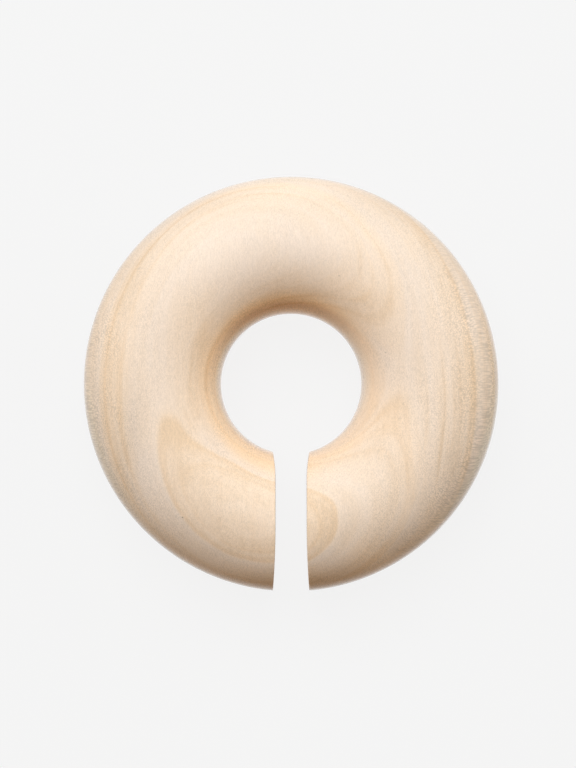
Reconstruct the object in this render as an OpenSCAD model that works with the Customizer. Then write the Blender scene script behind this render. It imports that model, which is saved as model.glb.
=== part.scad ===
// Ring hanger for a stretched ear lobe: one fat ring of pale wood with a slot sawn through one side.
// The ring lies on its side. Its axis is Z, it rests on z = 0, and the slot faces -Y.

/* [Ring] */
// Thickness of the round tube, which is the gauge of lobe that wears it
gauge_d = 19; // [12:0.5:25]
// Diameter of the round hole in the middle
hole_d = 19.4; // [14:0.1:40]

/* [Slot] */
// Width of the slot at the rim of its two end faces, where it is widest
slot_w = 5; // [3:0.1:7]
// How far each end face swells towards the other in its flat part
end_crown = 0.36; // [0.1:0.02:0.6]
// Length of the part of each end face that is sanded back towards the hole
hole_ease = 3.8; // [2:0.1:6]

/* [Hidden] */
$fn = 128;

wood = [0.95, 0.86, 0.72];

// The tube's own radius, and the radius of the circle that its centre runs along
tube_r = gauge_d / 2;
path_r = hole_d / 2 + tube_r;

// Centre of the tube where the slot's rim crosses it
end_x = slot_w / 2;
end_y = -sqrt(path_r * path_r - end_x * end_x);

// The flat part of an end face: how far it is from the slot's middle, and where it ends towards the hole
flat_x = end_x - end_crown;
flat_end_y = end_y + tube_r - hole_ease;

// Radii of the two arcs that fall back by end_crown, one up to the outer rim and one up to the hole
outer_r = (tube_r * tube_r + end_crown * end_crown) / (2 * end_crown);
inner_r = (hole_ease * hole_ease + end_crown * end_crown) / (2 * end_crown);

// The slot's cutter is wider than the slot, so that only the end blocks shape the end faces
cutter_w = slot_w + 4 * end_crown;
clear = 1;
block_h = gauge_d + 4 * clear;

// What fills one side of the cutter up to the end face on that side
module end_block(side) {
    translate([0, 0, -2 * clear]) {
        translate([side * (flat_x + outer_r), end_y])
            cylinder(r = outer_r, h = block_h, $fn = 512);
        translate([side * (flat_x + inner_r), flat_end_y])
            cylinder(r = inner_r, h = block_h, $fn = 256);
        mirror([side < 0 ? 1 : 0, 0, 0])
            translate([flat_x, end_y])
                cube([cutter_w, flat_end_y - end_y, block_h]);
    }
}

// What the saw and the sanding take out between the two ends
module slot_cutter() {
    difference() {
        translate([-cutter_w / 2, -path_r - tube_r - clear, -clear])
            cube([cutter_w, 2 * tube_r + 2 * clear, gauge_d + 2 * clear]);
        end_block(-1);
        end_block(1);
    }
}

// The whole ring, turned from one piece
module hanger_ring() {
    color(wood)
        difference() {
            translate([0, 0, tube_r])
                rotate_extrude()
                    translate([path_r, 0])
                        circle(r = tube_r);
            slot_cutter();
        }
}

hanger_ring();
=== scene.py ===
"""Looks of the ring hanger: a fat ring of pale solid wood with a slot sawn through one side.

The ring lies on its side on a pale floor. X runs to the right, +Y is the side away from the slot, Z is up.
Lengths are in metres, and the wood's figure is written in millimetres, as a turner would read it.
"""

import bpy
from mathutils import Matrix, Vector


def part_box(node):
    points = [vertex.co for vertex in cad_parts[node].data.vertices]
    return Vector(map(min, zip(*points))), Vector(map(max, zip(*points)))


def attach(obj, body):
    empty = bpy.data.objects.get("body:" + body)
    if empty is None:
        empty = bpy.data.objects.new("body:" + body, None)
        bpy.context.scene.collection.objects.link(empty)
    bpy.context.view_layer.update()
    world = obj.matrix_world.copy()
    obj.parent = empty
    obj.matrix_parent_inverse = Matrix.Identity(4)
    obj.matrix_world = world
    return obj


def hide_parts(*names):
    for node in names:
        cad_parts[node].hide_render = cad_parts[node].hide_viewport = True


bl_info = {
    "name": "Ring Hanger",
    "version": (1, 0, 0),
    "blender": (4, 5, 0),
    "location": "View3D > Sidebar > Ring Hanger",
    "description": "Makes a slotted ring hanger of solid wood and the plain stage that it lies on",
    "category": "Add Mesh",
}

import math

import bpy
from mathutils import Vector

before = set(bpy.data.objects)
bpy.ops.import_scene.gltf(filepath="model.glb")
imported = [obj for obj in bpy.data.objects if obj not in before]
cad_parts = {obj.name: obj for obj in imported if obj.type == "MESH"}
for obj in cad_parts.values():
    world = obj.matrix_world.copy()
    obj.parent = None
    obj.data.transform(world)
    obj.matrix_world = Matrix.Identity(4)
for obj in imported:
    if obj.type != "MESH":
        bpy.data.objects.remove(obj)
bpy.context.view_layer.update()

NODE = "hanger_ring"
MM = 0.001

# The tube's thickness is the ring's height, and its path runs half a thickness inside the outline
node_low, node_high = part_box(NODE)
TUBE_RADIUS = (node_high[2] - node_low[2]) / 2
PATH_RADIUS = (node_high[0] - node_low[0]) / 2 - TUBE_RADIUS

# Corners of the surface that lie closer than this are one
MERGE_DISTANCE = 0.002 * MM

# Growth rings. The columns are: where the dark line lies, in mm from the pith, how dark it is from 0 to 1,
# over how many mm it darkens before the line and fades after it, how pale the early wood after it is from
# 0 to 1, and over how many mm that paleness wears off
GROWTH_RINGS = (
    (45.45, 0.08, 0.15, 0.15, 0.00, 1.00),
    (45.95, 0.14, 0.15, 0.25, 0.00, 1.00),
    (46.75, 0.08, 0.25, 0.15, 0.00, 1.00),
    (55.25, 0.66, 0.90, 0.48, 1.00, 2.40),
    (60.10, 0.65, 0.90, 0.30, 0.50, 1.40),
    (62.30, 0.25, 0.50, 0.30, 0.10, 1.00),
    (64.70, 0.80, 1.60, 0.30, 0.60, 1.60),
    (67.10, 0.25, 0.40, 0.30, 0.10, 1.00),
    (69.30, 0.75, 1.40, 0.30, 0.60, 1.60),
    (71.60, 0.40, 0.60, 0.30, 0.30, 1.00),
)

# The innermost rings, in the same columns. They show near the slot only. At +X they lie a step further
# out, and beside the slot, towards the hole, they are lifted further, both in mm. At +X their lines are
# darker and their early wood is less pale, both as shares
HEART_RINGS = (
    (42.37, 0.42, 0.14, 0.12, 0.00, 1.00),
    (42.98, 0.42, 0.13, 0.14, 0.00, 1.00),
    (43.06, 0.46, 4.00, 0.16, 0.72, 3.00),
)
HEART_STEP = 0.70
HEART_LIFT = 0.80
HEART_DARKER = 0.5
HEART_LESS_PALE = 0.55

# Where that happens, as the places between which it grows from nothing to full, in mm: the step and the
# darker lines in X, the lift in X and in Y, and where in X the lift falls back to a share of itself
STEP_X = (-2.5, 2.5)
LIFT_X = (-13.3, -7.8)
LIFT_Y = (-18.0, -14.0)
LIFT_LESS_X = (-2.1, 2.1)
LIFT_KEPT = 0.42

# Rings that run closer to the pith towards -X, in the same columns, then by how many mm they do so
DRIFTING_RINGS = (
    (47.30, 0.32, 0.16, 0.15, 0.25, 0.80, 1.60),
    (48.27, 0.60, 0.28, 0.26, 0.00, 1.00, 0.62),
    (48.75, 0.00, 0.30, 0.35, 0.80, 2.80, 0.30),
)

# What two of the same rings gain on the side at -X, and in part on the far left, in the same columns
WIDE_RINGS = (
    (47.32, 0.75, 0.45, 0.40, 0.00, 1.00, 1.50),
    (48.27, 0.50, 0.45, 0.65, 0.00, 1.00, 0.55),
)

# Narrow rings on the side at +X, in the same columns as the growth rings, and how much light their
# darkness takes
NARROW_RINGS = (
    (49.93, 0.44, 0.20, 0.20, 0.30, 0.50),
    (51.30, 0.80, 0.24, 0.25, 0.20, 0.45),
    (52.40, 0.20, 0.15, 0.15, 0.05, 0.60),
    (53.35, 0.26, 0.18, 0.16, 0.05, 0.60),
)
NARROW_DIMS = 0.06

# A wide honey band that thickens one growth ring near the slot, in the same columns
HONEY_BAND = (48.82, 0.36, 0.42, 0.20, 0.00, 1.00)

# Zones of the rings, as the places between which each grows from nothing to full, in mm: near the slot,
# where the innermost rings and the honey band show, towards -X, where drifting rings drift, and towards
# +X, where they lose CALM_LOSS of their tone near the slot
NEAR_SLOT_Y = (4.0, -3.0)
DRIFT_X = (6.0, -20.0)
CALM_X = (-5.0, 3.0)
CALM_LOSS = 0.4

# Zones of the wide rings: the side at -X, and the far left, where only a share of them shows
LOW_SIDE_X = (-17.0, -23.0)
LOW_SIDE_Y = (8.0, -4.0)
FAR_LEFT_X = (4.0, -6.0)
FAR_LEFT_Y = (4.0, 10.0)
FAR_LEFT_SHARE = 0.4

# Zone of the narrow rings: its slanting inner border, which moves by NARROW_SLANT for each mm of Y, the
# stretch over which their share changes towards the slot, the two shares, and where they end
NARROW_X = (12.5, 15.5)
NARROW_SLANT = 0.3
NARROW_Y = (9.0, -6.0)
NARROW_SHARES = (0.25, 1.25)
NARROW_END_Y = (-15.0, -10.0)

# The rings sway by up to this many mm, with this many waves in a mm out from the pith, round it and along
# the stem. Round the pith, a place is counted as a length at ARC_RADIUS, in mm
SWAY = 0.07
SWAY_WAVES = (0.15, 0.15, 0.06)
ARC_RADIUS = 55.0

# Where the rings bend towards the pith: middle in X and Y, reach in X and Y, and by how much, in mm
BENDS = (
    (18.0, -10.0, 3.5, 5.0, 0.60),
    (9.0, 21.0, 7.0, 4.0, 0.30),
)

# Soft patches: middle in X and Y, reach in X and Y, all in mm, and what they add to the wood's tone and
# to its lightness. The last six rows are painted light and shade at the rims
TONE_PATCHES_AND_RIM_LIGHT = (
    (-21.6, -5.0, 1.7, 6.0, 0.22, -0.120),
    (-24.6, 4.0, 1.8, 11.0, 0.45, 0.040),
    (-22.2, 14.5, 2.6, 5.5, 0.40, -0.010),
    (-19.3, 18.5, 2.0, 2.0, 0.25, 0.000),
    (-26.0, -6.0, 1.0, 5.0, 0.00, -0.040),
    (16.5, -9.2, 1.8, 4.8, 0.18, 0.030),
    (8.0, 13.5, 3.2, 2.2, 0.00, 0.055),
    (11.0, -23.7, 3.6, 2.2, 0.52, 0.130),
    (2.0, 23.5, 13.0, 3.5, 0.00, -0.040),
    (21.8, -10.6, 1.8, 2.8, 0.20, -0.055),
    (23.3, -0.5, 1.7, 6.5, 0.26, -0.015),
    (-11.9, 5.0, 1.5, 5.5, 0.78, 0.030),
    (2.0, 12.2, 7.0, 1.6, 0.30, -0.005),
    (9.5, 10.8, 4.0, 1.4, 0.30, -0.005),
    (2.8, 17.6, 3.6, 2.9, -0.92, 0.030),
    (0.0, 20.5, 12.0, 4.5, -0.45, 0.000),
    (-5.0, 19.2, 1.6, 1.0, 0.00, -0.030),
    (-18.5, 7.0, 2.8, 7.0, -0.62, -0.020),
    (26.0, -10.2, 1.5, 4.2, -0.95, 0.020),
    (23.4, -16.2, 2.2, 3.3, -0.85, -0.035),
    (25.2, 2.0, 1.6, 7.0, 0.33, 0.035),
    (24.3, 9.0, 1.3, 4.0, -0.40, 0.040),
    (15.4, 7.0, 2.2, 5.0, -0.15, 0.030),
    (11.0, 12.3, 2.4, 2.8, 0.22, 0.030),
    (-20.0, -13.0, 1.7, 4.5, -0.60, 0.005),
    (-9.0, -24.3, 7.0, 1.5, -0.25, 0.055),
    (-16.3, -6.2, 2.2, 3.0, 0.48, -0.020),
    (-14.7, -11.9, 1.5, 2.0, 0.00, -0.025),
    (-10.0, -17.8, 7.5, 4.2, -0.28, -0.010),
    (-10.2, 2.0, 1.0, 4.5, 0.10, 0.060),
    (5.5, -12.3, 3.0, 2.0, -0.60, -0.010),
    (7.5, -18.5, 3.0, 3.0, 0.05, -0.045),
    (4.8, -23.3, 3.2, 2.0, -0.70, 0.000),
    (3.7, -19.5, 1.5, 2.2, 0.05, -0.010),
    (0.0, -12.0, 9.0, 1.8, 0.30, 0.000),
    (13.3, -3.8, 2.4, 3.2, 0.62, 0.030),
    (15.8, -17.0, 1.8, 4.5, -0.25, 0.020),
    (11.8, 3.0, 1.3, 3.5, -0.35, 0.000),
    (-12.6, -2.5, 1.6, 4.0, 0.35, 0.030),
    (16.5, 3.3, 1.5, 4.0, 0.00, -0.020),
    (17.8, 15.0, 3.2, 5.0, -0.42, -0.015),
    (21.3, 14.8, 1.9, 5.0, 0.42, 0.015),
    (18.2, 20.5, 2.2, 2.2, 0.35, 0.030),
    (-13.6, 13.6, 4.0, 4.0, -0.45, 0.000),
    (-9.0, 16.5, 6.0, 4.8, -0.92, 0.022),
    (-14.0, -2.7, 2.2, 5.0, 0.72, 0.000),
    (0.0, -24.6, 9.0, 2.6, 0.00, 0.050),
    # Painted light and shade from here on: these rows lighten and darken the ring near the slot's side and
    # along the far side's outer rim
    (0.0, -27.2, 12.0, 2.0, 0.70, -0.030),
    (0.0, -25.5, 12.0, 1.5, 0.00, 0.050),
    (-13.0, -21.5, 2.5, 1.5, 0.00, 0.040),
    (18.0, -19.0, 3.5, 2.5, -0.10, 0.035),
    (-19.5, -17.5, 4.0, 4.0, -0.10, 0.035),
    (-3.0, 27.6, 20.0, 2.2, -0.15, 0.080),
)

# Wall of the hole. Warm zone, partly the end grain's own honey colour and partly painted warm light that
# bounces between the hole's walls: how far from the ring's axis its middle lies and its reach, in mm, what
# it does to the colour where it is full, and its share all round. It is full towards WARM_SIDE, the more
# narrowly the higher WARM_POWER is, and partly so towards SECOND_SIDE, both in degrees from +X
WARM_MIDDLE = 11.2
WARM_REACH = 1.2
BOUNCE_AND_END_GRAIN_TINT = (1.10, 0.96, 0.73)
WARM_ALL_ROUND = 0.30
WARM_SIDE = 105.0
WARM_POWER = 1.5
SECOND_SIDE = 230.0
SECOND_SHARE = 0.60

# Painted shade: a dark line in the warm zone, on the wall of the hole that faces away from the lights, in
# the same way
HOLE_SHADE_MIDDLE = 10.9
HOLE_SHADE_REACH = 0.65
HOLE_SHADE_TINT = (0.763, 0.710, 0.745)
HOLE_SHADE_SIDE = 100.0
HOLE_SHADE_POWER = 2.2

# Innermost part of the hole, a painted pale reflection of the bright surroundings at its edge: where its
# paler zone starts and is full, in mm from the ring's axis, and what it does to the colour. It shows on
# the sides at
# -X and +X, at -X with this share only. The share changes where X is between these parts of the distance
# from the axis. On both sides the zone gains towards +Y and loses towards the slot
INNERMOST_START = 11.3
INNERMOST_FULL = 9.7
INNERMOST_REFLECTION_TINT = (0.99, 1.16, 1.37)
INNERMOST_AT_LOW_X = 0.9
INNERMOST_CHANGE = (-0.5, 0.5)
INNERMOST_GAIN = 0.9

# Outermost part of the ring, a painted silvery sheen of the wax along the outer wall: where it starts and
# is full, in mm from the ring's axis, and what it does to the colour. It shows on both sides, most where Y
# is
# OUTERMOST_MIDDLE of the distance from the axis, and less and less as that share moves away by
# OUTERMOST_REACH
OUTERMOST_START = 26.7
OUTERMOST_FULL = 27.8
RIM_SHEEN_TINT = (0.98, 1.06, 1.10)
OUTERMOST_MIDDLE = -0.33
OUTERMOST_REACH = 0.33

# Pin specks: where each lies on the upper side and its radius, in mm, and how much of the light it takes.
# Each one's soft edge runs between these shares of its radius
PIN_SPECKS = (
    (-14.77, -18.12, 0.10, 0.50),
    (6.49, 14.70, 0.12, 0.20),
    (12.86, 4.30, 0.10, 0.24),
)
SPECK_EDGE = (0.7, 1.3)

# Grain: whether its places are counted along the stem or on the ring, how many waves it has in a mm each
# way, its detail and roughness, and how much its crests add to the tone and to the lightness. Layers
# follow the growth rings, and bundles and fibres are long along the stem
GRAIN = {
    "layers": ("stem", (1.7, 0.04, 0.03), 3.0, 0.60, 0.32, -0.018),
    "bundles": ("ring", (1.4, 0.08, 1.4), 2.0, 0.50, 0.14, -0.008),
    "fibres": ("ring", (4.6, 0.8, 4.6), 3.0, 0.65, 0.11, -0.030),
    "clouds": ("ring", (0.20, 0.11, 0.20), 4.0, 0.60, 0.18, 0.0),
    "specks": ("ring", (6.0, 2.0, 6.0), 2.0, 0.60, 0.0, 0.055),
}

# Values of a noise that count as its troughs and its crests
NOISE_SPAN = (0.3, 0.7)

# Rays: how many there are in a mm out from the pith, round it and along the stem, how far they stray from
# even rows, and how far from its middle each starts to fade and is gone, as shares of a cell
RAYS_PER_MM = (0.34, 10.0, 4.3)
RAY_SCATTER = 0.85
RAY_CORE = (0.15, 0.75)

# How much lighter rays are where the surface runs along them and where it cuts them, and how squarely it
# cuts them at the two ends of that change. By which share rays change from place to place, between which
# values of a noise, and in how many waves in a mm. What is left of them on the far side, and where in Y
RAYS_ALONG = 0.150
RAYS_CUT = 0.075
RAYS_CUT_SPAN = (0.2, 1.0)
RAYS_CHANGE = 0.35
RAYS_CHANGE_SPAN = (0.35, 0.65)
RAYS_CHANGE_WAVES = (0.30, 0.16, 0.30)
RAYS_FAR = 0.6
RAYS_FAR_Y = (8.0, 16.0)

# Bump: its depth in mm, its strength, and how much specks count in it beside fibres
BUMP_DEPTH = 0.01
BUMP_STRENGTH = 0.4
BUMP_SPECKS = 0.6

# How far the surface is turned away where the wax starts to shine and where it shines in full, from 0
# where it faces the eye to 1 where it is seen edge on
WAX_FACING = (0.58, 0.87)

# Contact shadow under the ring, as the places between which it sets in, in mm: out from the axis, from
# outside and from the hole, and where it leaves out the slot, beside its middle plane and in Y
SHADOW_FROM_OUTSIDE = (29.0, 23.0)
SHADOW_FROM_HOLE = (10.5, 15.0)
SHADOW_BESIDE_SLOT = (3.5, 6.0)
SHADOW_PAST_SLOT_Y = (-8.0, -7.0)

# Light that comes from the room all round, by the side that it comes from, and the plain backdrop that the
# camera and the wax see in its place
ROOM_LIGHT = {
    "+X": (0.03, 0.03, 0.02),
    "-X": (0.03, 0.03, 0.02),
    "+Y": (0.02, 0.02, 0.03),
    "-Y": (0.16, 0.075, 0.01),
    "+Z": (0.0, 0.0, 0.0),
    "-Z": (4.1, 2.8, 1.6),
}
BACKDROP = (0.9, 0.9, 0.9)

# Soft lights: direction round from +X and height above the floor in degrees, power in watts, colour. All
# are squares of LIGHT_SIZE, at LIGHT_DISTANCE from the middle of the ring
SOFT_LIGHTS = {
    "key": (110.0, 65.0, 3.2, (1.0, 1.0, 1.0)),
    "far side": (90.0, 45.0, 0.6, (0.9, 0.95, 1.0)),
    "right": (30.0, 20.0, 1.6, (0.97, 1.0, 0.98)),
    "far left": (150.0, 20.0, 1.2, (0.95, 1.0, 1.0)),
    "near left": (215.0, 25.0, 0.15, (1.0, 0.6, 0.2)),
    "near right": (325.0, 25.0, 0.15, (1.0, 0.6, 0.2)),
}
LIGHT_DISTANCE = 0.6
LIGHT_SIZE = 0.45


class RingSizes(bpy.types.PropertyGroup):
    """Sizes of the ring's visible surface."""

    tube_radius: bpy.props.FloatProperty(
        name="Tube radius", description="Half the thickness of the round tube",
        default=TUBE_RADIUS, min=0.005, max=0.015, unit="LENGTH")
    path_radius: bpy.props.FloatProperty(
        name="Path radius", description="Radius of the circle that the tube's centre runs along",
        default=PATH_RADIUS, min=0.01, max=0.04, unit="LENGTH")
    slot_half: bpy.props.FloatProperty(
        name="Slot half width", description="Half the width of the slot at the rim of its end faces",
        default=0.0025, min=0.001, max=0.004, unit="LENGTH")
    end_crown: bpy.props.FloatProperty(
        name="End crown", description="How far each end face swells in its flat part",
        default=0.00036, min=0.0, max=0.001, unit="LENGTH")
    hole_ease: bpy.props.FloatProperty(
        name="Hole ease",
        description="Length of the part of each end face that falls back towards the hole",
        default=0.0038, min=0.001, max=0.009, unit="LENGTH")
    edge_round: bpy.props.FloatProperty(
        name="Edge rounding", description="Radius that the edge round each end face is sanded to",
        default=0.00015, min=0.00005, max=0.001, unit="LENGTH")
    sides: bpy.props.IntProperty(
        name="Sides", description="Faces round the tube", default=144, min=48, max=256)
    cap_steps: bpy.props.IntProperty(
        name="Cap steps", description="Rows of faces from an end face's middle to its edge",
        default=18, min=4, max=64)
    edge_steps: bpy.props.IntProperty(
        name="Edge steps", description="Rows of faces round each end's edge", default=6, min=2, max=16)
    body_steps: bpy.props.IntProperty(
        name="Body steps", description="Rows of faces along half the ring", default=150, min=48, max=256)


class WoodLook(bpy.types.PropertyGroup):
    """Colours and figure of the wood."""

    cream: bpy.props.FloatVectorProperty(
        name="Plain wood", description="Colour of the wood between early and late wood",
        subtype="COLOR", size=3, min=0.0, max=1.0, default=(0.825, 0.665, 0.520))
    pale: bpy.props.FloatVectorProperty(
        name="Early wood", description="Colour of the palest early wood",
        subtype="COLOR", size=3, min=0.0, max=1.0, default=(0.808, 0.675, 0.563))
    honey: bpy.props.FloatVectorProperty(
        name="Late wood", description="Colour of the darkest late wood",
        subtype="COLOR", size=3, min=0.0, max=1.0, default=(0.771, 0.581, 0.403))
    wax: bpy.props.FloatProperty(
        name="Wax", description="How much the thin wax shines at a low angle",
        default=1.0, min=0.0, max=1.0)
    pith_x: bpy.props.FloatProperty(
        name="Pith X", description="Where the tree's pith lies beside the ring's axis, in mm",
        default=-8.3)
    pith_z: bpy.props.FloatProperty(
        name="Pith Z", description="How high above the floor the tree's pith lies, in mm",
        default=61.25)
    lean_x: bpy.props.FloatProperty(
        name="Lean X", description="How far the pith drifts in X for each mm of Y", default=-0.0427)
    lean_z: bpy.props.FloatProperty(
        name="Lean Z", description="How far the pith drifts in Z for each mm of Y", default=0.038)


class StageLook(bpy.types.PropertyGroup):
    """Floor, lights and camera."""

    floor_colour: bpy.props.FloatVectorProperty(
        name="Floor colour", description="Colour that the floor glows in",
        subtype="COLOR", size=3, min=0.0, max=1.0, default=(1.0, 1.0, 1.0))
    floor_glow: bpy.props.FloatProperty(
        name="Floor glow", description="How brightly the floor glows", default=0.866, min=0.0)
    shadow_share: bpy.props.FloatProperty(
        name="Shadow share",
        description="How much of the lights the floor gives back, which shows the shadow",
        default=0.045, min=0.0, max=1.0)
    contact_share: bpy.props.FloatProperty(
        name="Contact share",
        description="The same under the ring, where the ring hides the floor from above",
        default=0.75, min=0.0, max=1.0)
    light_level: bpy.props.FloatProperty(
        name="Light level", description="Brightness that the lights alone would give a white floor",
        default=1.04, min=0.0)
    floor_radius: bpy.props.FloatProperty(
        name="Floor radius", description="Radius of the round floor", default=1.2, unit="LENGTH")
    camera_height: bpy.props.FloatProperty(
        name="Camera height", description="Height of the camera above the middle of the tube",
        default=0.45, unit="LENGTH")
    frame_height: bpy.props.FloatProperty(
        name="Frame height", description="Height of what the picture takes in at the middle of the tube",
        default=0.10636, unit="LENGTH")
    frame_shift: bpy.props.FloatProperty(
        name="Frame shift", description="How far the camera stands left of the ring's axis",
        default=0.00043, unit="LENGTH")


def calc(tree, operation, *values):
    """A Math node with these values or sockets as inputs. Returns its result."""
    node = tree.nodes.new("ShaderNodeMath")
    node.operation = operation
    for socket, value in zip(node.inputs, values):
        feed(tree, socket, value)
    return node.outputs[0]


def vcalc(tree, operation, *values, scale=None):
    """A Vector Math node with these values or sockets as inputs. Returns its result."""
    node = tree.nodes.new("ShaderNodeVectorMath")
    node.operation = operation
    for socket, value in zip(node.inputs, values):
        feed(tree, socket, value)
    if scale is not None:
        feed(tree, node.inputs["Scale"], scale)
    return node.outputs["Value" if operation in ("LENGTH", "DOT_PRODUCT", "DISTANCE") else "Vector"]


def feed(tree, socket, value):
    """Links value to the socket if it is a socket, and sets it otherwise."""
    if isinstance(value, bpy.types.NodeSocket):
        tree.links.new(value, socket)
    else:
        socket.default_value = value


def join_xyz(tree, x, y, z):
    """A vector made of these three values or sockets."""
    node = tree.nodes.new("ShaderNodeCombineXYZ")
    for socket, value in zip(node.inputs, (x, y, z)):
        feed(tree, socket, value)
    return node.outputs[0]


def split_xyz(tree, vector):
    """The three parts of a vector."""
    node = tree.nodes.new("ShaderNodeSeparateXYZ")
    feed(tree, node.inputs[0], vector)
    return node.outputs[0], node.outputs[1], node.outputs[2]


def clamp01(tree, value):
    """The value, kept from 0 to 1."""
    return calc(tree, "MINIMUM", calc(tree, "MAXIMUM", value, 0.0), 1.0)


def ring_tree():
    """Geometry Nodes that bend a grid into the slotted ring.

    Counted from the nearer end, a row of the grid lies on the end face, then round its edge, then along
    the body. On the end zone a row keeps its distance from the slot's middle plane, so that the slot is
    parallel, and along the body it turns into a plain cross-section.
    """
    tree = bpy.data.node_groups.new("slotted ring", "GeometryNodeTree")
    sockets = tree.interface
    sockets.new_socket("Geometry", in_out="OUTPUT", socket_type="NodeSocketGeometry")
    for name in ("Tube Radius", "Path Radius", "Slot Half", "End Crown", "Hole Ease", "Edge Round"):
        sockets.new_socket(name, in_out="INPUT", socket_type="NodeSocketFloat")
    for name in ("Sides", "Cap Steps", "Edge Steps", "Body Steps"):
        sockets.new_socket(name, in_out="INPUT", socket_type="NodeSocketInt")
    sockets.new_socket("Material", in_out="INPUT", socket_type="NodeSocketMaterial")
    given = tree.nodes.new("NodeGroupInput").outputs
    tube, path = given["Tube Radius"], given["Path Radius"]
    crown, edge = given["End Crown"], given["Edge Round"]
    caps, edges, body = given["Cap Steps"], given["Edge Steps"], given["Body Steps"]

    half_rows = calc(tree, "ADD", calc(tree, "ADD", caps, edges), body)
    rows = calc(tree, "MULTIPLY", half_rows, 2.0)
    grid = tree.nodes.new("GeometryNodeMeshGrid")
    feed(tree, grid.inputs["Size X"], 1.0)
    feed(tree, grid.inputs["Size Y"], 1.0)
    feed(tree, grid.inputs["Vertices X"], calc(tree, "ADD", rows, 1.0))
    feed(tree, grid.inputs["Vertices Y"], calc(tree, "ADD", given["Sides"], 1.0))

    along, around, _ = split_xyz(tree, tree.nodes.new("GeometryNodeInputPosition").outputs[0])
    from_middle = calc(tree, "MULTIPLY", along, rows)
    side = calc(tree, "SIGN", from_middle)
    row = calc(tree, "SUBTRACT", half_rows, calc(tree, "ABSOLUTE", from_middle))
    on_cap = clamp01(tree, calc(tree, "DIVIDE", row, caps))
    on_edge = clamp01(tree, calc(tree, "DIVIDE", calc(tree, "SUBTRACT", row, caps), edges))
    past_edge = calc(tree, "SUBTRACT", calc(tree, "SUBTRACT", row, caps), edges)
    on_body = clamp01(tree, calc(tree, "DIVIDE", past_edge, body))

    # Radius in the tube's section, on the end zone
    turn = calc(tree, "MULTIPLY", on_edge, math.pi / 2)
    flat = calc(tree, "MULTIPLY", calc(tree, "SUBTRACT", tube, edge), on_cap)
    radius = calc(tree, "MULTIPLY_ADD", calc(tree, "SINE", turn), edge, flat)
    angle = calc(tree, "MULTIPLY", calc(tree, "ADD", around, 0.5), math.tau)

    # Distance from the slot's middle plane: flat in the middle, falling back outwards and to the hole
    outward = calc(tree, "MULTIPLY", calc(tree, "COSINE", angle), flat)
    past_middle = calc(tree, "DIVIDE", calc(tree, "MAXIMUM", outward, 0.0), tube)
    ease = given["Hole Ease"]
    ease_start = calc(tree, "SUBTRACT", ease, tube)
    inwards = calc(tree, "MINIMUM", calc(tree, "SUBTRACT", outward, ease_start), 0.0)
    past_ease = calc(tree, "DIVIDE", inwards, ease)
    fallen_inwards = calc(tree, "MULTIPLY", past_ease, past_ease)
    fallen = calc(tree, "MULTIPLY_ADD", past_middle, past_middle, fallen_inwards)
    face = calc(tree, "MULTIPLY_ADD", calc(tree, "SUBTRACT", fallen, 1.0), crown, given["Slot Half"])
    eased = calc(tree, "MULTIPLY", edge, calc(tree, "SUBTRACT", 1.0, calc(tree, "COSINE", turn)))
    distance = calc(tree, "ADD", face, eased)

    # Place on the ring: out from its axis, up from the floor and round from the slot
    out = calc(tree, "MULTIPLY_ADD", calc(tree, "COSINE", angle), radius, path)
    up = calc(tree, "MULTIPLY_ADD", calc(tree, "SINE", angle), radius, tube)
    start = calc(tree, "ARCSINE", calc(tree, "DIVIDE", distance, out))
    to_far_side = calc(tree, "SUBTRACT", math.pi, start)
    swing = calc(tree, "MULTIPLY_ADD", to_far_side, on_body, start)
    x = calc(tree, "MULTIPLY", calc(tree, "MULTIPLY", calc(tree, "SINE", swing), out), side)
    y = calc(tree, "MULTIPLY", calc(tree, "MULTIPLY", calc(tree, "COSINE", swing), out), -1.0)

    moved = tree.nodes.new("GeometryNodeSetPosition")
    feed(tree, moved.inputs["Geometry"], grid.outputs["Mesh"])
    feed(tree, moved.inputs["Position"], join_xyz(tree, x, y, up))
    merged = tree.nodes.new("GeometryNodeMergeByDistance")
    feed(tree, merged.inputs["Geometry"], moved.outputs[0])
    feed(tree, merged.inputs["Distance"], MERGE_DISTANCE)
    smooth = tree.nodes.new("GeometryNodeSetShadeSmooth")
    feed(tree, smooth.inputs["Geometry"], merged.outputs[0])
    realized = tree.nodes.new("GeometryNodeRealizeInstances")
    feed(tree, realized.inputs["Geometry"], smooth.outputs[0])
    painted = tree.nodes.new("GeometryNodeSetMaterial")
    feed(tree, painted.inputs["Geometry"], realized.outputs[0])
    feed(tree, painted.inputs["Material"], given["Material"])
    result = tree.nodes.new("NodeGroupOutput")
    feed(tree, result.inputs[0], painted.outputs[0])
    return tree


def baked(name, tree, values):
    """Runs the tree on an empty mesh with these input values, and returns a plain mesh object."""
    carrier = bpy.data.objects.new("carrier", bpy.data.meshes.new("carrier"))
    bpy.context.scene.collection.objects.link(carrier)
    modifier = carrier.modifiers.new("shape", "NODES")
    modifier.node_group = tree
    inputs = [item for item in tree.interface.items_tree if item.in_out == "INPUT"]
    identifiers = {item.name: item.identifier for item in inputs}
    for input_name, value in values.items():
        modifier[identifiers[input_name]] = value
    depsgraph = bpy.context.evaluated_depsgraph_get()
    mesh = bpy.data.meshes.new_from_object(carrier.evaluated_get(depsgraph), depsgraph=depsgraph)
    carrier.modifiers.remove(modifier)
    bpy.data.objects.remove(carrier)
    mesh.name = name
    piece = bpy.data.objects.new(name, mesh)
    bpy.context.scene.collection.objects.link(piece)
    return piece


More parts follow.
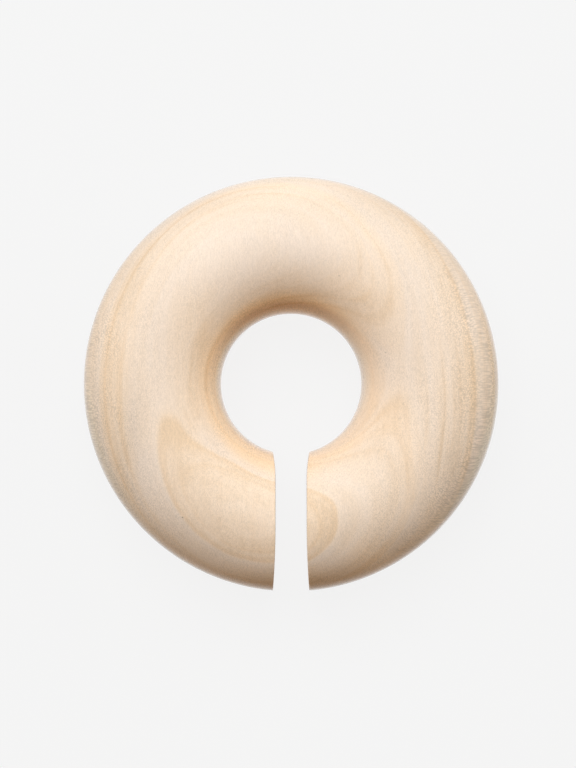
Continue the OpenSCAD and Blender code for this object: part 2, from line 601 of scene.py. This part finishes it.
def growth_ring_group():
    """Tone of one growth ring at a distance from the pith, positive where dark and negative where pale."""
    group = bpy.data.node_groups.new("growth ring", "ShaderNodeTree")
    for name in ("Distance", "Line", "Darkness", "Rise", "Fall", "Paleness", "Wear"):
        group.interface.new_socket(name, in_out="INPUT", socket_type="NodeSocketFloat")
    group.interface.new_socket("Tone", in_out="OUTPUT", socket_type="NodeSocketFloat")
    given = group.nodes.new("NodeGroupInput").outputs
    past = calc(group, "SUBTRACT", given["Distance"], given["Line"])
    beyond = calc(group, "MAXIMUM", past, 0.0)
    after = calc(group, "DIVIDE", beyond, given["Fall"])
    before = calc(group, "DIVIDE", calc(group, "MINIMUM", past, 0.0), given["Rise"])
    falling = calc(group, "MULTIPLY", calc(group, "MULTIPLY", after, after), -1.0)
    fade = calc(group, "EXPONENT", calc(group, "ADD", before, falling))
    worn = calc(group, "DIVIDE", beyond, calc(group, "MULTIPLY", given["Wear"], -1.0))
    started = calc(group, "SUBTRACT", 1.0, calc(group, "EXPONENT", falling))
    early = calc(group, "MULTIPLY", started, calc(group, "EXPONENT", worn))
    dark = calc(group, "MULTIPLY", fade, given["Darkness"])
    pale = calc(group, "MULTIPLY", early, given["Paleness"])
    result = group.nodes.new("NodeGroupOutput")
    feed(group, result.inputs[0], calc(group, "SUBTRACT", dark, pale))
    return group


def ring_tone(tree, group, distance, ring):
    """One growth ring's tone, from its row of numbers."""
    node = tree.nodes.new("ShaderNodeGroup")
    node.node_tree = group
    for socket, value in zip(node.inputs, (distance, *ring)):
        feed(tree, socket, value)
    return node.outputs[0]


def patch_group():
    """Weight of a soft patch, from 1 in its middle to 0 well outside."""
    group = bpy.data.node_groups.new("soft patch", "ShaderNodeTree")
    for name in ("X", "Y", "Middle X", "Middle Y", "Reach X", "Reach Y"):
        group.interface.new_socket(name, in_out="INPUT", socket_type="NodeSocketFloat")
    group.interface.new_socket("Weight", in_out="OUTPUT", socket_type="NodeSocketFloat")
    given = group.nodes.new("NodeGroupInput").outputs
    total = 0.0
    for axis in "XY":
        off = calc(group, "SUBTRACT", given[axis], given["Middle " + axis])
        share = calc(group, "DIVIDE", off, given["Reach " + axis])
        total = calc(group, "MULTIPLY_ADD", share, share, total)
    result = group.nodes.new("NodeGroupOutput")
    feed(group, result.inputs[0], calc(group, "EXPONENT", calc(group, "MULTIPLY", total, -1.0)))
    return group


def patch_weight(tree, group, x, y, zone):
    """A soft patch's weight at x and y. Its zone is its middle in X and Y and its reach in X and Y."""
    node = tree.nodes.new("ShaderNodeGroup")
    node.node_tree = group
    for socket, value in zip(node.inputs, (x, y, *zone)):
        feed(tree, socket, value)
    return node.outputs[0]


def noise(tree, place, waves, detail=2.0, roughness=0.5):
    """Smooth noise from 0 to 1, with this many waves in a mm each way."""
    node = tree.nodes.new("ShaderNodeTexNoise")
    feed(tree, node.inputs["Vector"], vcalc(tree, "MULTIPLY", place, waves))
    node.inputs["Scale"].default_value = 1.0
    node.inputs["Detail"].default_value = detail
    node.inputs["Roughness"].default_value = roughness
    return node.outputs["Fac"]


def mix_colour(tree, share, first, second, blend="MIX"):
    """The first colour, mixed or otherwise blended with this share of the second."""
    node = tree.nodes.new("ShaderNodeMix")
    node.data_type = "RGBA"
    node.blend_type = blend
    feed(tree, node.inputs[0], share)
    feed(tree, node.inputs[6], first)
    feed(tree, node.inputs[7], second)
    return node.outputs[2]


def tinted(tree, colour, tint, share):
    """The colour, multiplied by the tint where the share is 1."""
    return mix_colour(tree, share, colour, (*tint, 1.0), blend="MULTIPLY")


def spread(tree, value, low, high, to_low=0.0, to_high=1.0):
    """Goes from to_low, where the value is low or past it, to to_high, where it is high or past it."""
    node = tree.nodes.new("ShaderNodeMapRange")
    for name, number in (("Value", value), ("From Min", low), ("From Max", high),
                         ("To Min", to_low), ("To Max", to_high)):
        feed(tree, node.inputs[name], number)
    return node.outputs["Result"]


def ripple(tree, wave, step):
    """A noise's troughs and crests as a number from -step to step."""
    return spread(tree, wave, *NOISE_SPAN, -step, step)


def hill(tree, value, middle, reach):
    """1 where the value is at its middle, and less and less away from it."""
    off = calc(tree, "DIVIDE", calc(tree, "SUBTRACT", value, middle), reach)
    return calc(tree, "EXPONENT", calc(tree, "MULTIPLY", calc(tree, "MULTIPLY", off, off), -1.0))


def towards(tree, side_share, far_share, degrees):
    """1 on the side of the ring's axis that lies at these degrees from +X, and 0 on the other side."""
    turn = math.radians(degrees)
    sideways = calc(tree, "MULTIPLY", side_share, math.cos(turn))
    return clamp01(tree, calc(tree, "MULTIPLY_ADD", far_share, math.sin(turn), sideways))


def place_in_stem(tree, x, y, z, look):
    """Where a place lies in the stem: its offsets from the pith in X and Z, its distance from it, and a
    vector of that distance, the arc round the pith and the height in the stem."""
    from_x = calc(tree, "SUBTRACT", x, calc(tree, "MULTIPLY_ADD", y, look.lean_x, look.pith_x))
    from_z = calc(tree, "SUBTRACT", z, calc(tree, "MULTIPLY_ADD", y, look.lean_z, look.pith_z))
    reach = vcalc(tree, "LENGTH", join_xyz(tree, from_x, from_z, 0.0))
    turn = calc(tree, "ARCTAN2", from_x, calc(tree, "MULTIPLY", from_z, -1.0))
    arc = calc(tree, "MULTIPLY", turn, ARC_RADIUS)
    return from_x, from_z, reach, join_xyz(tree, reach, arc, y)


def drifting_tone(tree, group, reach, x, y, near_slot):
    """Tone of the rings that drift, and what the wide ones add to it in their zones."""
    drift = spread(tree, x, *DRIFT_X)
    calmed = calc(tree, "MULTIPLY", near_slot, spread(tree, x, *CALM_X))
    calm = calc(tree, "MULTIPLY_ADD", calmed, -CALM_LOSS, 1.0)
    low_side = calc(tree, "MULTIPLY", spread(tree, x, *LOW_SIDE_X), spread(tree, y, *LOW_SIDE_Y))
    far_left = calc(tree, "MULTIPLY",
                    spread(tree, x, *FAR_LEFT_X, to_high=FAR_LEFT_SHARE), spread(tree, y, *FAR_LEFT_Y))
    wide = calc(tree, "MAXIMUM", low_side, far_left)
    tone = 0.0
    for rings, share in ((DRIFTING_RINGS, calm), (WIDE_RINGS, wide)):
        for *ring, by in rings:
            line = ring_tone(tree, group, calc(tree, "MULTIPLY_ADD", drift, by, reach), ring)
            tone = calc(tree, "MULTIPLY_ADD", line, share, tone)
    return tone


def narrow_tone(tree, group, reach, x, y):
    """Tone of the narrow rings, in their zone."""
    past_border = spread(tree, calc(tree, "MULTIPLY_ADD", y, NARROW_SLANT, x), *NARROW_X)
    along = calc(tree, "MULTIPLY",
                 spread(tree, y, *NARROW_Y, *NARROW_SHARES), spread(tree, y, *NARROW_END_Y))
    share = calc(tree, "MULTIPLY", past_border, along)
    tone = 0.0
    for ring in NARROW_RINGS:
        tone = calc(tree, "MULTIPLY_ADD", ring_tone(tree, group, reach, ring), share, tone)
    return tone


def heart_tone(tree, group, reach, x, y):
    """Tone of the innermost rings, with their step and their lift."""
    kept = calc(tree, "MULTIPLY",
                spread(tree, x, *LIFT_LESS_X, 1.0, LIFT_KEPT), spread(tree, y, *LIFT_Y))
    lift = calc(tree, "MULTIPLY", spread(tree, x, *LIFT_X, to_high=HEART_LIFT), kept)
    step = calc(tree, "ADD", lift, spread(tree, x, *STEP_X, to_high=HEART_STEP))
    inner = calc(tree, "SUBTRACT", reach, step)
    tone = 0.0
    for ring in HEART_RINGS:
        tone = calc(tree, "ADD", tone, ring_tone(tree, group, inner, ring))
    darker = spread(tree, x, *STEP_X, 1.0, 1.0 + HEART_DARKER)
    less_pale = spread(tree, x, *STEP_X, 1.0, 1.0 - HEART_LESS_PALE)
    dark = calc(tree, "MULTIPLY", calc(tree, "MAXIMUM", tone, 0.0), darker)
    pale = calc(tree, "MULTIPLY", calc(tree, "MINIMUM", tone, 0.0), less_pale)
    return calc(tree, "ADD", dark, pale)


def ring_figure(tree, blob, reach, x, y):
    """Tone of all the growth rings, and the lightness that the narrow ones take."""
    for *zone, shift in BENDS:
        reach = calc(tree, "MULTIPLY_ADD", patch_weight(tree, blob, x, y, zone), shift, reach)
    group = growth_ring_group()
    tone = 0.0
    for ring in GROWTH_RINGS:
        tone = calc(tree, "ADD", tone, ring_tone(tree, group, reach, ring))
    near_slot = spread(tree, y, *NEAR_SLOT_Y)
    tone = calc(tree, "ADD", tone, drifting_tone(tree, group, reach, x, y, near_slot))
    narrow = narrow_tone(tree, group, reach, x, y)
    tone = calc(tree, "ADD", tone, narrow)
    heart = heart_tone(tree, group, reach, x, y)
    tone = calc(tree, "MULTIPLY_ADD", heart, near_slot, tone)
    tone = calc(tree, "MULTIPLY_ADD", ring_tone(tree, group, reach, HONEY_BAND), near_slot, tone)
    return tone, calc(tree, "MULTIPLY", calc(tree, "MAXIMUM", narrow, 0.0), -NARROW_DIMS)


def with_patches(tree, blob, x, y, tone, light):
    """The tone and the lightness, with what the soft patches add, including painted light and shade at the
    rims.
    """
    for *zone, tone_step, light_step in TONE_PATCHES_AND_RIM_LIGHT:
        weight = patch_weight(tree, blob, x, y, zone)
        if tone_step:
            tone = calc(tree, "MULTIPLY_ADD", weight, tone_step, tone)
        if light_step:
            light = calc(tree, "MULTIPLY_ADD", weight, light_step, light)
    return tone, light


def with_hole_and_rim(tree, colour, x, y):
    """The colour, warmer and darker on the hole's wall from end grain and painted bounce light, with a
    painted shade line there, a painted pale reflection in the hole's depth and a painted silvery sheen at
    the rim.
    """
    from_axis = vcalc(tree, "LENGTH", join_xyz(tree, x, y, 0.0))
    side_share = calc(tree, "DIVIDE", x, from_axis)
    far_share = calc(tree, "DIVIDE", y, from_axis)

    # Warm zone: partly the end grain's own colour, partly painted warm bounce light
    first_side = calc(tree, "POWER", towards(tree, side_share, far_share, WARM_SIDE), WARM_POWER)
    first = spread(tree, first_side, 0.0, 1.0, WARM_ALL_ROUND, 1.0)
    second = calc(tree, "MULTIPLY", towards(tree, side_share, far_share, SECOND_SIDE), SECOND_SHARE)
    bounce_and_end_grain = calc(tree, "MULTIPLY", hill(tree, from_axis, WARM_MIDDLE, WARM_REACH),
                calc(tree, "MAXIMUM", first, second))
    colour = tinted(tree, colour, BOUNCE_AND_END_GRAIN_TINT, bounce_and_end_grain)

    # Painted shade: a dark line on the hole's wall that faces away from the lights
    shade_side = calc(tree, "POWER", towards(tree, side_share, far_share, HOLE_SHADE_SIDE), HOLE_SHADE_POWER)
    line = calc(tree, "MULTIPLY", hill(tree, from_axis, HOLE_SHADE_MIDDLE, HOLE_SHADE_REACH), shade_side)
    colour = tinted(tree, colour, HOLE_SHADE_TINT, line)

    # Painted pale reflection in the hole's depth, on the sides
    at_sides = calc(tree, "MULTIPLY", calc(tree, "MULTIPLY", side_share, side_share),
                    spread(tree, side_share, *INNERMOST_CHANGE, INNERMOST_AT_LOW_X, 1.0))
    at_sides = calc(tree, "MULTIPLY", at_sides, calc(tree, "MULTIPLY_ADD", far_share, INNERMOST_GAIN, 1.0))
    depth = spread(tree, from_axis, INNERMOST_START, INNERMOST_FULL)
    colour = tinted(tree, colour, INNERMOST_REFLECTION_TINT, clamp01(tree, calc(tree, "MULTIPLY", at_sides, depth)))

    # Painted silvery sheen along the outer wall
    rim_sheen = calc(tree, "MULTIPLY", spread(tree, from_axis, OUTERMOST_START, OUTERMOST_FULL),
               hill(tree, far_share, OUTERMOST_MIDDLE, OUTERMOST_REACH))
    return tinted(tree, colour, RIM_SHEEN_TINT, rim_sheen)


def ray_lightness(tree, stem, from_x, from_z, normal, place_mm, y):
    """How much lighter or darker the rays are: tiny spindles, long outwards and thin round the stem."""
    cells = tree.nodes.new("ShaderNodeTexVoronoi")
    cells.inputs["Scale"].default_value = 1.0
    cells.inputs["Randomness"].default_value = RAY_SCATTER
    feed(tree, cells.inputs["Vector"], vcalc(tree, "MULTIPLY", stem, RAYS_PER_MM))
    rays = spread(tree, cells.outputs["Distance"], *RAY_CORE, 1.0, -1.0)
    outwards = vcalc(tree, "NORMALIZE", join_xyz(tree, from_x, 0.0, from_z))
    cut = calc(tree, "ABSOLUTE", vcalc(tree, "DOT_PRODUCT", normal, outwards))
    change = noise(tree, place_mm, RAYS_CHANGE_WAVES)
    shown = calc(tree, "MULTIPLY", spread(tree, cut, *RAYS_CUT_SPAN, RAYS_ALONG, RAYS_CUT),
                 spread(tree, change, *RAYS_CHANGE_SPAN, 1.0 - RAYS_CHANGE, 1.0 + RAYS_CHANGE))
    shown = calc(tree, "MULTIPLY", shown, spread(tree, y, *RAYS_FAR_Y, 1.0, RAYS_FAR))
    return calc(tree, "MULTIPLY", rays, shown)


def with_pin_specks(tree, lightness, x, y, z):
    """The lightness, with the pin specks taken off it on the upper side."""
    upper = calc(tree, "GREATER_THAN", z, TUBE_RADIUS / MM)
    edge_start, edge_end = SPECK_EDGE
    for speck_x, speck_y, radius, darkness in PIN_SPECKS:
        off_x = calc(tree, "SUBTRACT", x, speck_x)
        off_y = calc(tree, "SUBTRACT", y, speck_y)
        off = vcalc(tree, "LENGTH", join_xyz(tree, off_x, off_y, 0.0))
        dark = spread(tree, off, edge_start * radius, edge_end * radius, -darkness, 0.0)
        lightness = calc(tree, "MULTIPLY_ADD", dark, upper, lightness)
    return lightness


def wood_material(look):
    """Solid wood that reads Object coordinates, so that its figure runs right through the ring."""
    material = bpy.data.materials.new("pale_wood")
    material.use_nodes = True
    tree = material.node_tree
    shader = tree.nodes["Principled BSDF"]
    shader.inputs["IOR"].default_value = 1.5
    shader.inputs["Roughness"].default_value = 0.6
    shader.inputs["Specular IOR Level"].default_value = 0.25
    shader.inputs["Coat IOR"].default_value = 1.8
    shader.inputs["Coat Roughness"].default_value = 0.12

    # Thin wax, which shows as a pale edge where the wood is seen at a low angle
    edge = tree.nodes.new("ShaderNodeLayerWeight")
    edge.inputs["Blend"].default_value = 0.5
    film = spread(tree, edge.outputs["Facing"], *WAX_FACING, to_high=look.wax)
    feed(tree, shader.inputs["Coat Weight"], film)

    coordinates = tree.nodes.new("ShaderNodeTexCoord").outputs
    place_mm = vcalc(tree, "SCALE", coordinates["Object"], scale=1 / MM)
    x, y, z = split_xyz(tree, place_mm)
    from_x, from_z, reach, stem = place_in_stem(tree, x, y, z, look)

    # Growth rings, slightly unsteady, and soft patches
    reach = calc(tree, "ADD", reach, ripple(tree, noise(tree, stem, SWAY_WAVES), SWAY))
    blob = patch_group()
    tone, light = ring_figure(tree, blob, reach, x, y)
    tone, light = with_patches(tree, blob, x, y, tone, light)

    # Grain, in the tone first. Tones above 0 are late wood, and those below it are early wood
    places = {"stem": stem, "ring": place_mm}
    waves = {}
    for name, (counted, scale, detail, roughness, tone_step, _) in GRAIN.items():
        waves[name] = noise(tree, places[counted], scale, detail, roughness)
        if tone_step:
            tone = calc(tree, "ADD", tone, ripple(tree, waves[name], tone_step))
    colour = mix_colour(tree, clamp01(tree, tone), (*look.cream, 1.0), (*look.honey, 1.0))
    early = clamp01(tree, calc(tree, "MULTIPLY", tone, -1.0))
    colour = mix_colour(tree, early, colour, (*look.pale, 1.0))
    colour = with_hole_and_rim(tree, colour, x, y)

    # Lightness: rays, grain, patches and pin specks
    lightness = ray_lightness(tree, stem, from_x, from_z, coordinates["Normal"], place_mm, y)
    for name, (*_, light_step) in GRAIN.items():
        if light_step:
            lightness = calc(tree, "ADD", lightness, ripple(tree, waves[name], light_step))
    lightness = calc(tree, "ADD", lightness, light)
    lightness = with_pin_specks(tree, lightness, x, y, z)
    colour = vcalc(tree, "SCALE", colour, scale=calc(tree, "ADD", lightness, 1.0))
    feed(tree, shader.inputs["Base Color"], colour)

    bump = tree.nodes.new("ShaderNodeBump")
    bump.inputs["Strength"].default_value = BUMP_STRENGTH
    bump.inputs["Distance"].default_value = BUMP_DEPTH * MM
    height = calc(tree, "MULTIPLY_ADD", waves["specks"], BUMP_SPECKS, waves["fibres"])
    feed(tree, bump.inputs["Height"], height)
    feed(tree, shader.inputs["Normal"], bump.outputs[0])
    return material


class HANGER_OT_ring(bpy.types.Operator):
    """Make the ring's visible surface and its wood"""

    bl_idname = "hanger.ring"
    bl_label = "Make Ring"

    def execute(self, context):
        sizes = context.scene.ring_sizes
        piece = baked("wood_ring", ring_tree(), {
            "Tube Radius": sizes.tube_radius,
            "Path Radius": sizes.path_radius,
            "Slot Half": sizes.slot_half,
            "End Crown": sizes.end_crown,
            "Hole Ease": sizes.hole_ease,
            "Edge Round": sizes.edge_round,
            "Sides": sizes.sides,
            "Cap Steps": sizes.cap_steps,
            "Edge Steps": sizes.edge_steps,
            "Body Steps": sizes.body_steps,
            "Material": wood_material(context.scene.wood_look),
        })
        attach(piece, "root")
        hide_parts(NODE)
        return {"FINISHED"}


def floor_material(look):
    """Pale floor that glows evenly, takes a faint shadow and can't be seen from below.

    Under the ring it glows less and gives back more of the lights, so that the ring stands on its shadow.
    """
    material = bpy.data.materials.new("glowing_floor")
    material.use_nodes = True
    tree = material.node_tree
    shader = tree.nodes["Principled BSDF"]
    place = tree.nodes.new("ShaderNodeTexCoord").outputs["Object"]
    x, y, _ = split_xyz(tree, vcalc(tree, "SCALE", place, scale=1 / MM))
    from_axis = vcalc(tree, "LENGTH", join_xyz(tree, x, y, 0.0))
    under = calc(tree, "MULTIPLY", spread(tree, from_axis, *SHADOW_FROM_OUTSIDE),
                 spread(tree, from_axis, *SHADOW_FROM_HOLE))
    off_slot = calc(tree, "MAXIMUM", spread(tree, calc(tree, "ABSOLUTE", x), *SHADOW_BESIDE_SLOT),
                    spread(tree, y, *SHADOW_PAST_SLOT_Y))
    more = calc(tree, "MULTIPLY", calc(tree, "MULTIPLY", under, off_slot),
                look.contact_share - look.shadow_share)
    feed(tree, shader.inputs["Base Color"], calc(tree, "ADD", more, look.shadow_share))
    glow = calc(tree, "MULTIPLY_ADD", more, -look.light_level, look.floor_glow)
    feed(tree, shader.inputs["Emission Strength"], glow)
    shader.inputs["Roughness"].default_value = 1.0
    shader.inputs["Specular IOR Level"].default_value = 0.0
    shader.inputs["Emission Color"].default_value = (*look.floor_colour, 1.0)
    clear = tree.nodes.new("ShaderNodeBsdfTransparent")
    mix = tree.nodes.new("ShaderNodeMixShader")
    feed(tree, mix.inputs[0], tree.nodes.new("ShaderNodeNewGeometry").outputs["Backfacing"])
    feed(tree, mix.inputs[1], shader.outputs[0])
    feed(tree, mix.inputs[2], clear.outputs[0])
    feed(tree, tree.nodes["Material Output"].inputs["Surface"], mix.outputs[0])
    return material


def add_floor(look):
    """A round floor, which is stage and no part of the ring."""
    mesh = bpy.data.meshes.new("floor")
    steps = 96
    corners = [(look.floor_radius * math.cos(math.tau * i / steps),
                look.floor_radius * math.sin(math.tau * i / steps), 0.0) for i in range(steps)]
    mesh.from_pydata(corners, [], [range(steps)])
    mesh.materials.append(floor_material(look))
    floor = bpy.data.objects.new("floor", mesh)
    bpy.context.scene.collection.objects.link(floor)
    return floor


def add_camera(look):
    """Looks straight down on the ring, with +Y up in the picture."""
    data = bpy.data.cameras.new("camera")
    data.sensor_width = 36.0
    data.lens = data.sensor_width * look.camera_height / look.frame_height
    data.clip_start = 0.01
    camera = bpy.data.objects.new("camera", data)
    camera.location = (-look.frame_shift, 0.0, TUBE_RADIUS + look.camera_height)
    bpy.context.scene.collection.objects.link(camera)
    bpy.context.scene.camera = camera
    return camera


def add_light(name, azimuth, height, power, colour):
    """A square soft light that faces the middle of the ring. The wax mirrors the key light only."""
    data = bpy.data.lights.new(name, "AREA")
    data.shape = "SQUARE"
    data.size = LIGHT_SIZE
    data.energy = power
    data.color = colour
    light = bpy.data.objects.new(name, data)
    turn, lift = math.radians(azimuth), math.radians(height)
    outward = Vector((math.cos(turn) * math.cos(lift), math.sin(turn) * math.cos(lift), math.sin(lift)))
    light.location = outward * LIGHT_DISTANCE + Vector((0.0, 0.0, TUBE_RADIUS))
    light.visible_glossy = name == "key"
    light.rotation_euler = outward.to_track_quat("Z", "Y").to_euler()
    bpy.context.scene.collection.objects.link(light)
    return light


def add_room():
    """Room light that changes smoothly from side to side. Camera and wax see the plain backdrop."""
    world = bpy.data.worlds.new("soft room")
    world.use_nodes = True
    bpy.context.scene.world = world
    tree = world.node_tree
    background = tree.nodes["Background"]
    direction = vcalc(tree, "NORMALIZE", tree.nodes.new("ShaderNodeTexCoord").outputs["Generated"])
    total = (0.0, 0.0, 0.0)
    for axis, part in zip("XYZ", split_xyz(tree, direction)):
        for sign, factor in (("+", 1.0), ("-", -1.0)):
            facing = calc(tree, "MAXIMUM", calc(tree, "MULTIPLY", part, factor), 0.0)
            weight = calc(tree, "MULTIPLY", facing, facing)
            if sign + axis == "-Z":
                # Straight from below comes none, because the ring lies on its own shadow there
                weight = calc(tree, "MULTIPLY", weight, calc(tree, "SUBTRACT", 1.0, weight))
            side = vcalc(tree, "SCALE", ROOM_LIGHT[sign + axis], scale=weight)
            total = vcalc(tree, "ADD", total, side)
    path = tree.nodes.new("ShaderNodeLightPath").outputs
    seen = calc(tree, "MAXIMUM", path["Is Camera Ray"], path["Is Glossy Ray"])
    feed(tree, background.inputs["Color"], mix_colour(tree, seen, total, (*BACKDROP, 1.0)))


class HANGER_OT_stage(bpy.types.Operator):
    """Make the floor, the soft lights and the camera"""

    bl_idname = "hanger.stage"
    bl_label = "Make Stage"

    def execute(self, context):
        look = context.scene.stage_look
        floor = add_floor(look)
        # The floor's glow doesn't light the wood, because the room's light from below stands for it
        floor.visible_diffuse = False
        for name, values in SOFT_LIGHTS.items():
            add_light(name, *values)
        add_room()
        add_camera(look)
        context.scene.view_settings.view_transform = "Standard"
        return {"FINISHED"}


class HANGER_PT_panel(bpy.types.Panel):
    """The steps and sizes of the ring hanger"""

    bl_idname = "HANGER_PT_panel"
    bl_label = "Ring Hanger"
    bl_space_type = "VIEW_3D"
    bl_region_type = "UI"
    bl_category = "Ring Hanger"

    def draw(self, context):
        layout = self.layout
        for group in (context.scene.ring_sizes, context.scene.wood_look, context.scene.stage_look):
            box = layout.box()
            for name in group.__annotations__:
                box.prop(group, name)
        layout.operator(HANGER_OT_ring.bl_idname)
        layout.operator(HANGER_OT_stage.bl_idname)


CLASSES = (RingSizes, WoodLook, StageLook, HANGER_OT_ring, HANGER_OT_stage, HANGER_PT_panel)
GROUPS = {"ring_sizes": RingSizes, "wood_look": WoodLook, "stage_look": StageLook}


def register():
    for cls in CLASSES:
        bpy.utils.register_class(cls)
    for name, group in GROUPS.items():
        setattr(bpy.types.Scene, name, bpy.props.PointerProperty(type=group))


def unregister():
    for name in GROUPS:
        delattr(bpy.types.Scene, name)
    for cls in reversed(CLASSES):
        bpy.utils.unregister_class(cls)


def main():
    """Makes the ring and its stage."""
    register()
    bpy.ops.hanger.ring()
    bpy.ops.hanger.stage()


if __name__ == "__main__":
    main()
